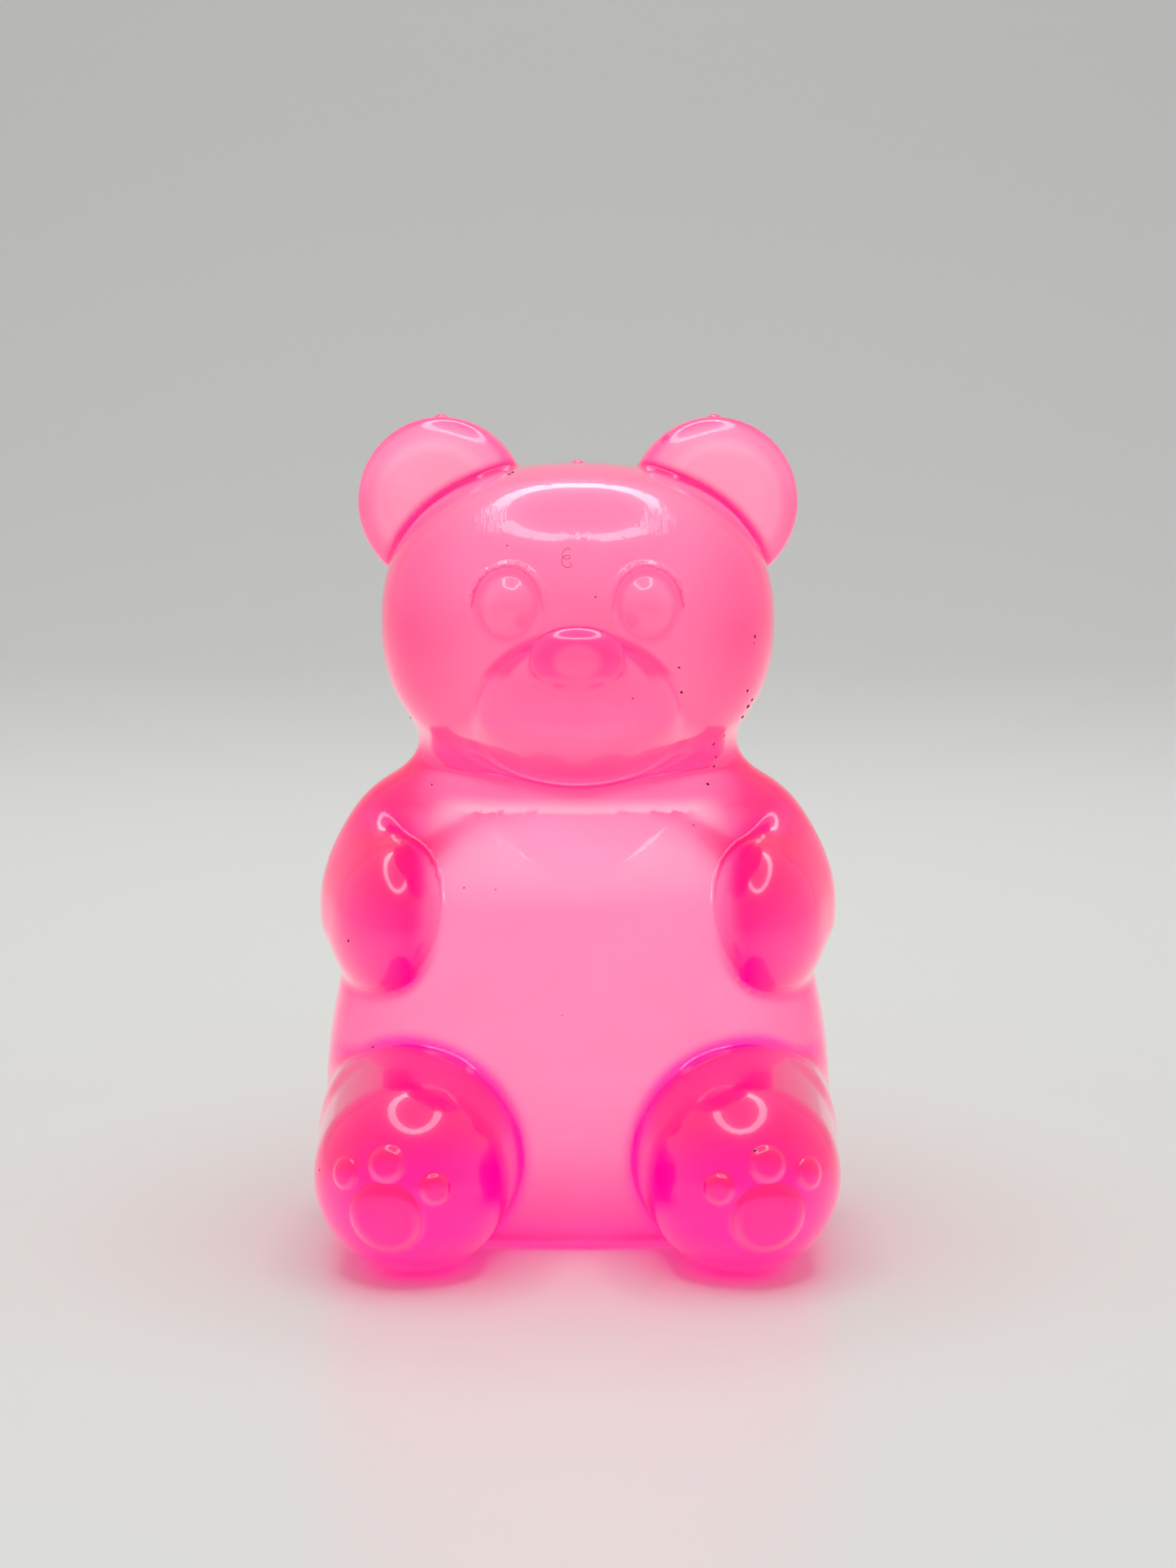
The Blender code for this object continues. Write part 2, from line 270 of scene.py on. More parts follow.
@dataclass(frozen=True)
class Eye:
    """A round bump in a grooved socket, under a thin raised brow."""

    place: tuple[float, float] = (4.15, 38.8)
    half: tuple[float, float, float] = (1.35, 1.55, 0.95)
    bury: float = 0.45
    bump_fillet: float = 0.2
    stretch: float = 1.12
    brow_reach: float = 2.12
    brow_radius: float = 0.24
    brow_lift: float = 0.02
    brow_fade: Span = (-0.9, 0.9)
    brow_fillet: float = 0.32
    groove_reach: float = 1.72
    groove_radius: float = 0.34
    groove_lift: float = 0.1
    groove_fillet: float = 0.25

    def reach(self, rel: np.ndarray) -> np.ndarray:
        """How far points of the eye's frame lie from its middle, in the socket's upright oval."""
        return np.hypot(rel[:, 0], rel[:, 1] / self.stretch)

    def set_in(self, d: np.ndarray, rel: np.ndarray) -> np.ndarray:
        """Adds the brow, the groove and the bump to the face.

        Args:
            d: distances from the face.
            rel: the same points in the eye's own frame.

        Returns:
            The distances with the eye.
        """
        reach = self.reach(rel)
        brow = self.brow_radius * ease(*self.brow_fade, rel[:, 1])
        ridge = np.hypot(reach - self.brow_reach, rel[:, 2] - self.brow_lift) - brow
        d = join(d, ridge, self.brow_fillet)
        groove = np.hypot(reach - self.groove_reach, rel[:, 2] - self.groove_lift)
        d = cut(d, groove - self.groove_radius, self.groove_fillet)
        bump = RoundedBall((0.0, 0.0, -self.bury), self.half)
        return join(d, bump.distance(rel), self.bump_fillet)


@dataclass(frozen=True)
class Limb:
    """A tube with domed ends along a smooth spine of x, y, z and radius."""

    spine: tuple[tuple[float, float, float, float], ...]
    side: Side
    samples: int = 32
    far: float = 12.0

    def stations(self) -> np.ndarray:
        """Points and radii at even steps along the curve through the spine.

        Returns:
            One row of x, y, z and radius for each step.
        """
        points = np.array(self.spine)
        points[:, 0] *= self.side.value
        made = []
        for step in range(self.samples):
            place = step / (self.samples - 1) * (len(points) - 1)
            index = min(int(place), len(points) - 2)
            t = place - index
            a, b, c, d = (points[min(max(index + k, 0), len(points) - 1)] for k in (-1, 0, 1, 2))
            made.append(0.5 * (2 * b + (c - a) * t + (2 * a - 5 * b + 4 * c - d) * t ** 2
                               + (3 * b - a - 3 * c + d) * t ** 3))
        return np.array(made)

    def distance(self, p: np.ndarray) -> np.ndarray:
        """Distance from the tube, from a parabola through the three nearest stations.

        Args:
            p: points in millimetres.

        Returns:
            One distance for each point, and the far value on the other side of the bear.
        """
        stations = self.stations()
        out = np.full(len(p), self.far)
        near = (p[:, 0] * self.side.value > 0.0) & (p[:, 2] < stations[:, 2].max() + self.far)
        q = p[near]
        away = np.stack([np.linalg.norm(q - row[:3], axis=1) - row[3] for row in stations])
        index = np.clip(away.argmin(axis=0), 1, len(stations) - 2)
        columns = np.arange(len(q))
        before, here, after = (away[index + k, columns] for k in (-1, 0, 1))
        bend = np.maximum(before - 2.0 * here + after, TINY)
        shift = np.clip(0.5 * (before - after) / bend, -1.0, 1.0)
        out[near] = here + 0.5 * (after - before) * shift + 0.5 * bend * shift * shift
        return out


@dataclass(frozen=True)
class Torso:
    """A pear of rounded-square sections."""

    half_width: float = 15.7
    widest_z: float = 6.5
    side_rise: float = 24.5
    belly_depth: float = 11.4
    belly_deepest_z: float = 8.0
    belly_rise: float = 19.7
    belly_tuck: float = 0.16
    back_depth: float = 9.4
    back_deepest_z: float = 9.5
    back_rise: float = 20.5
    squareness: float = 2.3
    chest_roundness: float = 0.3
    chest_up: Span = (17.0, 24.0)
    neck_share: float = 0.42
    top_z: float = 31.0

    def closing(self, z: np.ndarray, widest_z: float, rise: float) -> np.ndarray:
        """Share of its widest size that an elliptic outline keeps at a height."""
        share = np.maximum(1.0 - (np.maximum(z - widest_z, 0.0) / rise) ** 2, 0.0)
        return np.maximum(np.sqrt(share), self.neck_share)

    def distance(self, p: np.ndarray) -> np.ndarray:
        """Level distance from the side of the pear.

        Args:
            p: points in millimetres.

        Returns:
            One distance for each point.
        """
        x, y, z = p.T
        low = np.maximum(self.belly_deepest_z - z, 0.0) / self.belly_deepest_z
        side = self.half_width * self.closing(z, self.widest_z, self.side_rise)
        front = self.belly_depth * self.closing(z, self.belly_deepest_z, self.belly_rise)
        front = front * (1.0 - self.belly_tuck * low ** 2)
        back = self.back_depth * self.closing(z, self.back_deepest_z, self.back_rise)
        n = self.squareness - self.chest_roundness * ease(*self.chest_up, z)
        gauge = (np.abs(x) / side) ** n + (np.abs(y) / np.where(y < 0.0, front, back)) ** n
        gauge = np.maximum(gauge, TINY) ** (1.0 / n)
        return np.maximum(np.hypot(x, y) * (1.0 - 1.0 / gauge), z - self.top_z)


@dataclass(frozen=True)
class Fillets:
    """Widths of the rounded seams between the joined shapes, and where some of them grow."""

    neck: float = 0.5
    muzzle: float = 0.3
    jowl: float = 2.6
    jowl_up: Span = (29.5, 33.5)
    nose: float = 0.5
    ear: float = 0.4
    armpit: float = 0.6
    shoulder: float = 3.6
    shoulder_up: Span = (18.5, 23.5)
    hand: float = 0.4
    wrist: float = 2.2
    wrist_across: Span = (10.2, 12.8)
    wrist_up: Span = (15.5, 18.5)
    thigh: float = 1.2
    lap: float = 0.6
    pad: float = 0.25
    nub: float = 0.25
    nick: float = 0.1
    underside: float = 0.7


@dataclass(frozen=True)
class FineZones:
    """Where the bear's mesh is split finer, in millimetres."""

    face_half_width: float = 8.5
    face_front: float = -6.0
    face_up: Span = (28.5, 42.5)
    soles_front: float = -14.0
    soles_top: float = 10.5
    ears_bottom: float = 42.0
    nose_near: float = 0.5
    muzzle_edge_near: float = 0.9
    muzzle_edge_bottom: float = 34.0
    eye_reach: float = 3.0
    eye_near: float = 2.0


@dataclass(frozen=True)
class TintSpans:
    """Where each tint of the gel sets in and where it is full, painted shade and painted light among
    them.

    Plain names are distances from the middle to a side. The others end in up, down or front for
    the way they grow, in near for a distance off a shape, or in share for a share of a size.
    """

    flank: Span = (8.5, 14.5)
    flank_share: float = 0.7
    torso_low_down: Span = (8.0, 1.5)
    torso_low_front: Span = (2.0, -6.0)
    base_down: Span = (3.0, 0.8)
    base_front: Span = (0.0, -6.0)
    chest_up: Span = (20.0, 24.0)
    neck_up: Span = (25.4, 26.8)
    shoulder_side: Span = (6.5, 9.5)
    shoulder_side_up: Span = (21.5, 24.0)
    head_near: Span = (0.1, 0.7)
    head_side_shade: Span = (5.5, 11.0)
    head_low_down: Span = (33.5, 29.5)
    muzzle_near: Span = (0.05, 0.35)
    muzzle_up: Span = (29.0, 31.0)
    wing_reach_share: Span = (0.76, 0.82)
    wing_up_share: Span = (0.36, 0.5)
    wing_share: float = 0.9
    chin_near: Span = (0.2, 1.1)
    nose_near: Span = (0.05, 0.4)
    arch_reach_share: Span = (0.35, 0.6)
    arch_up_share: Span = (-0.65, -0.35)
    eye_near: Span = (1.0, 2.0)
    eye_reach: Span = (1.3, 1.6)
    groove_near: Span = (0.0, 0.45)
    ear_near: Span = (0.05, 0.4)
    off_head: Span = (0.0, 0.5)
    ear_rim: Span = (3.4, 4.4)
    ear_edge_shade: Span = (4.5, 5.1)
    crease_near: Span = (0.3, 0.8)
    arm_near: Span = (0.1, 0.8)
    arm: Span = (7.8, 10.0)
    arm_front: Span = (4.5, 0.5)
    arm_inner: Span = (12.0, 10.2)
    arm_inner_down: Span = (25.0, 23.5)
    arm_edge_light: Span = (11.5, 14.8)
    shoulder: Span = (8.8, 10.2)
    shoulder_up: Span = (22.5, 24.5)
    leg_near: Span = (0.1, 0.9)
    thigh: Span = (10.5, 12.0)
    thigh_down: Span = (12.3, 11.2)
    thigh_front: Span = (3.0, -3.0)
    foot_top_up: Span = (9.0, 11.8)
    foot_low_down: Span = (3.5, 1.0)
    foot_rim_light: Span = (12.5, 15.2)
    pad_share: float = 0.9
    pad_reach_share: Span = (0.75, 1.0)
    pad_edge_share: float = 0.98
    pad_edge_down_share: Span = (0.4, -0.5)
    pad_line_share: Span = (0.0, 0.22)


@dataclass
class GelBear:
    """The whole bear: one field of joined shapes, meshed finely and dressed in gel."""

    torso: Torso = field(default_factory=Torso)
    head: RoundedBall = RoundedBall((0.0, -0.6, 37.05), (12.0, 9.9, 9.65), 2.3)
    snout: RoundedBall = RoundedBall((0.0, -8.2, 32.1), (6.2, 4.9, 5.85), below=4.0)
    nose: RoundedBall = RoundedBall((0.0, -12.1, 35.85), (2.75, 1.5, 1.95), 2.2)
    eye: Eye = Eye()
    ear_centre: tuple[float, float, float] = (8.35, 1.6, 44.15)
    ear_turn_deg: float = 12.0
    arm_spine: tuple[tuple[float, float, float, float], ...] = (
        (5.6, 1.0, 27.0, 3.0), (8.9, 1.2, 24.9, 3.45), (10.8, 1.1, 23.4, 3.6),
        (11.8, 0.6, 20.8, 3.65), (11.7, 0.0, 19.2, 3.6))
    hand_centre: tuple[float, float, float] = (11.4, -3.1, 19.1)
    hand_half: tuple[float, float, float] = (3.9, 6.5, 5.2)
    hand_turn_deg: float = 9.0
    leg_hip: tuple[float, float, float] = (9.2, -8.0, 6.3)
    hip_radius: float = 6.3
    foot_centre: tuple[float, float, float] = (9.6, -13.75, 5.8)
    foot_radius: float = 5.8
    thigh_centre: tuple[float, float, float] = (10.2, -4.6, 6.2)
    thigh_half: tuple[float, float, float] = (5.3, 6.2, 5.5)
    thigh_squareness: float = 2.6
    sole_turn_deg: float = 14.0
    heel_pad: tuple[float, float, float] = (0.0, -1.3, 2.05)
    toe_pads: tuple[tuple[float, float, float], ...] = (
        (2.5, 1.2, 0.85), (-0.1, 1.95, 0.95), (-2.85, 0.55, 0.8))
    nubs: tuple[tuple[float, float, float, float], ...] = (
        (-8.35, 1.6, 49.3, 0.3), (8.35, 1.6, 49.3, 0.3), (0.0, -0.6, 46.6, 0.3))
    scuff_places: tuple[tuple[float, float, float, float], ...] = (
        (-5.2, -6.9, 43.0, 1.9), (4.6, -7.2, 43.0, 1.9), (0.0, -8.2, 42.4, 1.6),
        (-4.1, -6.0, 25.0, 1.7))
    scuff_core: float = 0.4
    nick: tuple[float, float, float, float] = (5.27, 0.2, 48.1, 0.3)
    fillets: Fillets = Fillets()
    zones: FineZones = FineZones()
    spans: TintSpans = TintSpans()
    voxel: float = 0.34
    weld_gap: float = 0.001
    relax_share: float = 0.5
    longest_move: float = 0.4
    least_slope: float = 0.2
    probe_depths: Span = (-21.0, 4.0)
    probe_steps: int = 1001
    piece_name: str = "bear_gel"

    def __post_init__(self) -> None:
        """Works out the shapes that depend on the sizes."""
        self.ears = [self.ear(side) for side in Side]
        self.arms = [Limb(self.arm_spine, side) for side in Side]
        x, y, z = self.hand_centre
        self.hands = [RoundedBall((side.value * x, y, z), self.hand_half, 2.0,
                                  -side.value * self.hand_turn_deg) for side in Side]
        self.legs = [Limb(self.leg_spine(), side) for side in Side]
        x, y, z = self.thigh_centre
        self.thighs = [RoundedBall((side.value * x, y, z), self.thigh_half, self.thigh_squareness)
                       for side in Side]
        self.eye_frames = [self.eye_frame(side) for side in Side]
        self.pads = [pad for side in Side for pad in self.sole_pads(side)]

    def ear(self, side: Side) -> Ear:
        """One ear, turned a little outward.

        Args:
            side: which side it is on.

        Returns:
            The ear's disc.
        """
        x, y, z = self.ear_centre
        turn = math.radians(side.value * self.ear_turn_deg)
        across = (math.cos(turn), math.sin(turn), 0.0)
        return Ear((side.value * x, y, z), across, (0.0, 0.0, 1.0))

    def leg_spine(self) -> tuple[tuple[float, float, float, float], ...]:
        """The right leg from the hip to the middle of the foot's dome."""
        return ((*self.leg_hip, self.hip_radius), (*self.foot_centre, self.foot_radius))

    def face_depth(self, x: float, z: float) -> float:
        """How far in front of the head's centre its surface lies at a place on the face.

        Args:
            x: millimetres to the right.
            z: millimetres above the floor.

        Returns:
            The depth in millimetres.
        """
        n = self.head.squareness
        across = abs(x - self.head.centre[0]) / self.head.half[0]
        up = abs(z - self.head.centre[2]) / self.head.half[2]
        return self.head.half[1] * (1.0 - across ** n - up ** n) ** (1.0 / n)

    def eye_frame(self, side: Side) -> Placed:
        """Upright frame on the face at one eye, turned to the face's slope.

        Args:
            side: which side the eye is on.

        Returns:
            The frame.
        """
        x, z = self.eye.place
        step = 0.2
        slope = (self.face_depth(x - step, z) - self.face_depth(x + step, z)) / (2 * step)
        tip = (self.face_depth(x, z - step) - self.face_depth(x, z + step)) / (2 * step)
        across = Vector((1.0, side.value * slope, 0.0)).normalized()
        up = Vector((0.0, tip, 1.0))
        up = (up - across * up.dot(across)).normalized()
        y = self.head.centre[1] - self.face_depth(x, z)
        return Placed((side.value * x, y, z), tuple(across), tuple(up))

    def sole_pads(self, side: Side) -> list[Pad]:
        """The heel pad and the toe pads on one sole.

        Args:
            side: which foot they are on.

        Returns:
            The pads.
        """
        turn = math.radians(self.sole_turn_deg)
        axis = np.array([side.value * math.sin(turn), -math.cos(turn), 0.0])
        outer = np.array([side.value * math.cos(turn), math.sin(turn), 0.0])
        x, y, z = self.foot_centre
        foot = np.array([side.value * x, y, z])
        made = []
        for across, up, radius in (self.heel_pad,) + self.toe_pads:
            toward = axis * math.sqrt(self.foot_radius ** 2 - across ** 2 - up ** 2)
            toward = toward + outer * across + np.array([0.0, 0.0, up])
            normal = toward / np.linalg.norm(toward)
            lift = np.array([0.0, 0.0, 1.0]) - normal * normal[2]
            lift /= np.linalg.norm(lift)
            level = np.cross(lift, normal)
            made.append(Pad(tuple(foot + toward), tuple(level), tuple(lift), radius, self.foot_radius))
        return made

    def distance(self, p: np.ndarray) -> np.ndarray:
        """The bear's field: distance from the joined surface, negative inside.

        Args:
            p: points in millimetres, depths measured from the torso's axis.

        Returns:
            One distance for each point.
        """
        x, _, z = p.T
        seam = self.fillets
        d = join(self.torso.distance(p), self.head.distance(p), seam.neck)
        jowl = seam.jowl * (1.0 - ease(*seam.jowl_up, z))
        d = join(d, self.snout.distance(p), seam.muzzle + jowl)
        d = join(d, self.nose.distance(p), seam.nose)
        for place in self.eye_frames:
            d = self.eye.set_in(d, place.local(p))
        for ear in self.ears:
            d = join(d, ear.distance(p), seam.ear)
        for arm in self.arms:
            d = join(d, arm.distance(p), seam.armpit + seam.shoulder * ease(*seam.shoulder_up, z))
        wrist = seam.wrist * ease(*seam.wrist_across, np.abs(x)) * ease(*seam.wrist_up, z)
        for hand in self.hands:
            d = join(d, hand.distance(p), seam.hand + wrist)
        for leg, thigh in zip(self.legs, self.thighs):
            d = join(d, join(leg.distance(p), thigh.distance(p), seam.thigh), seam.lap)
        for pad in self.pads:
            d = join(d, pad.distance(p), seam.pad)
        for nub in self.nubs:
            d = join(d, ball(p, *nub), seam.nub)
        d = cut(d, ball(p, *self.nick), seam.nick)
        return cut(d, z, seam.underside)

    def arm_distances(self, p: np.ndarray) -> list[np.ndarray]:
        """Distances from each arm with its hand."""
        return [join(arm.distance(p), hand.distance(p), self.fillets.wrist)
                for arm, hand in zip(self.arms, self.hands)]

    def surface_at(self, x: float, z: float) -> tuple[np.ndarray, np.ndarray]:
        """The front surface at a place across and up.

        Args:
            x: millimetres to the right.
            z: millimetres above the floor.

        Returns:
            The point in the frame's millimetres and the outward normal there.
        """
        depths = np.linspace(*self.probe_depths, self.probe_steps)
        ray = np.stack([np.full_like(depths, x), depths, np.full_like(depths, z)], axis=1)
        inside = self.distance(ray) < 0.0
        point = ray[inside.argmax()] if inside.any() else ray[-1]
        slope = self.gradient(point[None])[0]
        return point + np.array([0.0, TORSO_AXIS_Y, 0.0]), slope / np.linalg.norm(slope)

    def gradient(self, p: np.ndarray, step: float = 0.01) -> np.ndarray:
        """Slope of the field by central differences.

        Args:
            p: points in millimetres.
            step: how far the field is sampled to each side.

        Returns:
            One vector for each point.
        """
        parts = []
        for axis in np.eye(3) * step:
            parts.append((self.distance(p + axis) - self.distance(p - axis)) / (2 * step))
        return np.stack(parts, axis=1)

    def starting_mesh(self) -> bpy.types.Mesh:
        """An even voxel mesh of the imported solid, to be drawn onto the field.

        Returns:
            The mesh in metres.
        """
        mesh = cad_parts["gummy_bear"].data.copy()
        obj = place_mesh("voxel_start", mesh)
        weld = obj.modifiers.new("weld", "WELD")
        weld.merge_threshold = self.weld_gap * MM
        remesh = obj.modifiers.new("remesh", "REMESH")
        remesh.mode = "VOXEL"
        remesh.voxel_size = self.voxel * MM
        graph = bpy.context.evaluated_depsgraph_get()
        made = bpy.data.meshes.new_from_object(obj.evaluated_get(graph))
        bpy.data.objects.remove(obj, do_unlink=True)
        bpy.data.meshes.remove(mesh)
        return made

    def settle(self, mesh: bpy.types.Mesh, relaxing: int) -> np.ndarray:
        """Relaxes the mesh and moves its points onto the field.

        Args:
            mesh: the mesh in metres, changed in place.
            relaxing: how many times the points are evened out.

        Returns:
            The points in millimetres, depths measured from the torso's axis.
        """
        count = len(mesh.vertices)
        p = np.zeros(count * 3)
        mesh.vertices.foreach_get("co", p)
        p = p.reshape(-1, 3) / MM - np.array([0.0, TORSO_AXIS_Y, 0.0])
        edges = np.zeros(len(mesh.edges) * 2, dtype=np.int64)
        mesh.edges.foreach_get("vertices", edges)
        edges = edges.reshape(-1, 2)
        valence = np.bincount(edges.ravel(), minlength=count)
        for turn in range(relaxing + 1):
            if turn < relaxing:
                total = np.stack([
                    np.bincount(edges[:, 0], p[edges[:, 1], axis], count)
                    + np.bincount(edges[:, 1], p[edges[:, 0], axis], count)
                    for axis in range(3)], axis=1)
                p = p + self.relax_share * (total / valence[:, None] - p)
            for _ in range(1 if turn < relaxing else 2):
                slope = self.gradient(p)
                size = np.maximum((slope ** 2).sum(axis=1), self.least_slope ** 2)
                move = slope * (self.distance(p) / size)[:, None]
                length = np.maximum(np.linalg.norm(move, axis=1), TINY)
                p = p - move * np.minimum(1.0, self.longest_move / length)[:, None]
        metres = (p + np.array([0.0, TORSO_AXIS_Y, 0.0])) * MM
        metres[:, 2] = np.maximum(metres[:, 2], 0.0)
        mesh.vertices.foreach_set("co", metres.astype(np.float32).ravel())
        mesh.update()
        return p

    def refine(self, mesh: bpy.types.Mesh, wanted: np.ndarray) -> None:
        """Splits the faces whose points are all wanted into four.

        Args:
            mesh: the mesh, changed in place.
            wanted: True for each point where the mesh is to be finer.
        """
        bm = bmesh.new()
        bm.from_mesh(mesh)
        bm.faces.ensure_lookup_table()
        faces = [face for face in bm.faces if all(wanted[v.index] for v in face.verts)]
        edges = list({edge for face in faces for edge in face.edges})
        bmesh.ops.subdivide_edges(bm, edges=edges, cuts=1, use_grid_fill=True)
        bm.to_mesh(mesh)
        bm.free()

    def near_details(self, p: np.ndarray) -> np.ndarray:
        """Finds the points on the face, the soles and the ears.

        Args:
            p: points in millimetres.

        Returns:
            True for each point that is on one of them.
        """
        x, y, z = p.T
        zone = self.zones
        bottom, top = zone.face_up
        face = (np.abs(x) < zone.face_half_width) & (y < zone.face_front)
        face &= (z > bottom) & (z < top)
        soles = (y < zone.soles_front) & (z < zone.soles_top)
        return face | soles | (z > zone.ears_bottom)

    def near_fine_details(self, p: np.ndarray) -> np.ndarray:
        """Finds the points by the eyes, the nose and the muzzle's upper edge.

        Args:
            p: points in millimetres.

        Returns:
            True for each point that is by one of them.
        """
        zone = self.zones
        wanted = self.nose.distance(p) < zone.nose_near
        edge = np.abs(self.snout.distance(p)) + np.abs(self.head.distance(p))
        wanted |= (edge < zone.muzzle_edge_near) & (p[:, 2] > zone.muzzle_edge_bottom)
        for place in self.eye_frames:
            rel = place.local(p)
            wanted |= (np.hypot(rel[:, 0], rel[:, 1]) < zone.eye_reach) & (
                np.abs(rel[:, 2]) < zone.eye_near)
        return wanted

    def tints(self, p: np.ndarray) -> np.ndarray:
        """The gel's tint at each point: pale where light fills it, deep in the limbs, with painted
        shade and painted light laid in some places.

        Args:
            p: points on the surface in millimetres.

        Returns:
            Linear red, green and blue for each point.
        """
        tint = Tint(len(p), GelTints.torso)
        self.lay_torso(tint, p)
        self.lay_head(tint, p)
        self.lay_nose(tint, p)
        self.lay_eyes(tint, p)
        self.lay_ears(tint, p)
        self.lay_arms(tint, p)
        self.lay_legs(tint, p)
        self.lay_pads(tint, p)
        return tint.rgb

    def lay_torso(self, tint: "Tint", p: np.ndarray) -> None:
        """Deepens the torso's sides, base and shoulders, and clears its chest. The sides get painted
        shade, the base a painted band of light bent through the gel, the neck painted shade under the
        head, the shoulders painted shade over the arms' deep gel, and the chest painted light.

        Args:
            tint: the tints so far, changed in place.
            p: points in millimetres.
        """
        x, y, z = p.T
        side = np.abs(x)
        span = self.spans
        # painted shade: the torso darker towards its flanks
        tint.lay(GelTints.flank_shade, span.flank_share * ease(*span.flank, side))
        front = 0.5 + 0.5 * ease(*span.torso_low_front, y)
        tint.lay(GelTints.torso_low, ease(*span.torso_low_down, z) * front)
        # painted light: a lilac band of light bent through the gel, low at the front
        tint.lay(GelTints.base, ease(*span.base_down, z) * ease(*span.base_front, y))
        # painted light: the chest painted near white
        tint.lay(GelTints.chest, ease(*span.chest_up, z))
        # painted shade: the neck deeper under the head
        tint.lay(GelTints.neck, ease(*span.neck_up, z))
        # the shoulders' deep pink: the arms' deep gel with painted shade laid over it
        shoulder = ease(*span.shoulder_side, side) * ease(*span.shoulder_side_up, z)
        tint.lay(GelTints.shoulder_side, shoulder)

    def lay_head(self, tint: "Tint", p: np.ndarray) -> None:
        """Tints the head, the muzzle with its upper wings, and the crease under the chin, with painted
        shade on the head's sides and lower part, on the wings and in the crease.

        Args:
            tint: the tints so far, changed in place.
            p: points in millimetres.
        """
        x, _, z = p.T
        span = self.spans
        head = self.head.distance(p)
        on_head = 1.0 - ease(*span.head_near, head)
        tint.lay(GelTints.forehead, on_head)
        # painted shade: the head darker towards its sides
        tint.lay(GelTints.head_side_shade, on_head * ease(*span.head_side_shade, np.abs(x)))
        # painted shade: the head darker low down towards the chin
        tint.lay(GelTints.head_low_shade, on_head * ease(*span.head_low_down, z))
        on_snout = 1.0 - ease(*span.muzzle_near, self.snout.distance(p))
        on_snout = on_snout * ease(*span.muzzle_up, z)
        tint.lay(GelTints.muzzle, on_snout)
        rel = (p - np.array(self.snout.centre)) / np.array(self.snout.half)
        reach = np.hypot(rel[:, 0], rel[:, 2])
        # painted shade: the muzzle's upper slope darker under its top edge
        wing = ease(*span.wing_reach_share, reach) * ease(*span.wing_up_share, rel[:, 2])
        tint.lay(GelTints.muzzle_top_shade, span.wing_share * on_snout * wing)
        # painted shade in the crease under the chin
        under_chin_shade = np.maximum(np.abs(self.torso.distance(p)), np.abs(head))
        tint.lay(GelTints.under_chin_shade, 1.0 - ease(*span.chin_near, under_chin_shade))

    def lay_nose(self, tint: "Tint", p: np.ndarray) -> None:
        """Lays a deep arch of painted shade over the nose, with a painted reflection that leaves it
        paler in its middle and along its lower lip.

        Args:
            tint: the tints so far, changed in place.
            p: points in millimetres.
        """
        span = self.spans
        rel = (p - np.array(self.nose.centre)) / np.array(self.nose.half)
        on_nose = 1.0 - ease(*span.nose_near, self.nose.distance(p))
        reach = np.hypot(rel[:, 0], rel[:, 2])
        # painted shade: a deep arch over the nose's top and sides
        arch = ease(*span.arch_reach_share, reach) * ease(*span.arch_up_share, rel[:, 2])
        # painted reflection: the nose paler in its middle
        tint.lay(GelTints.nose_middle_reflection, on_nose)
        tint.lay(GelTints.nose, on_nose * arch)

    def lay_eyes(self, tint: "Tint", p: np.ndarray) -> None:
        """Deepens the grooves round the eyes with painted shade, and lightens the bumps.

        Args:
            tint: the tints so far, changed in place.
            p: points in millimetres.
        """
        span = self.spans
        for place in self.eye_frames:
            rel = place.local(p)
            reach = self.eye.reach(rel)
            near = 1.0 - ease(*span.eye_near, np.abs(rel[:, 2]))
            band = 1.0 - ease(*span.groove_near, np.abs(reach - self.eye.groove_reach))
            tint.lay(GelTints.eye, near * (1.0 - ease(*span.eye_reach, reach)))
            # painted shade in the groove round the eye
            tint.lay(GelTints.socket, near * band)

    def lay_ears(self, tint: "Tint", p: np.ndarray) -> None:
        """Clears the middles of the ears and deepens their rims, with painted shade along their outer
        edges and in the creases where they meet the head.

        Args:
            tint: the tints so far, changed in place.
            p: points in millimetres.
        """
        span = self.spans
        head = self.head.distance(p)
        for ear in self.ears:
            rel = ear.local(p)
            away = ear.distance(p)
            reach = np.hypot(rel[:, 0], rel[:, 1])
            on_ear = (1.0 - ease(*span.ear_near, away)) * ease(*span.off_head, head)
            tint.lay(GelTints.ear, on_ear)
            tint.lay(GelTints.ear_rim, on_ear * ease(*span.ear_rim, reach))
            # painted shade: a darker outline along the ear's outer edge
            tint.lay(GelTints.ear_edge_shade, on_ear * ease(*span.ear_edge_shade, reach))
            # painted shade in the crease where the ear meets the head
            crease = np.maximum(np.abs(away), np.abs(head))
            tint.lay(GelTints.crease, 1.0 - ease(*span.crease_near, crease))

    def lay_arms(self, tint: "Tint", p: np.ndarray) -> None:
        """Deepens the arms, most along the chest and least at their outer edges, which painted light
        makes paler; the shoulders get painted shade over the arms' deep gel.

        Args:
            tint: the tints so far, changed in place.
            p: points in millimetres.
        """
        x, y, z = p.T
        side = np.abs(x)
        span = self.spans
        arm = np.minimum(*self.arm_distances(p))
        on_arm = (1.0 - ease(*span.arm_near, arm)) * ease(*span.arm, side)
        on_arm = on_arm * ease(*span.arm_front, y)
        inner = ease(*span.arm_inner, side) * ease(*span.arm_inner_down, z)
        shoulder = ease(*span.shoulder_up, z) * ease(*span.shoulder, side)
        tint.lay(GelTints.arm, on_arm)
        tint.lay(GelTints.arm_inner, on_arm * inner)
        # painted light: the arm paler along its outer edge
        tint.lay(GelTints.arm_edge_light, on_arm * ease(*span.arm_edge_light, side))
        # painted shade over the deep gel at the tops of the shoulders
        tint.lay(GelTints.shoulder, on_arm * shoulder)

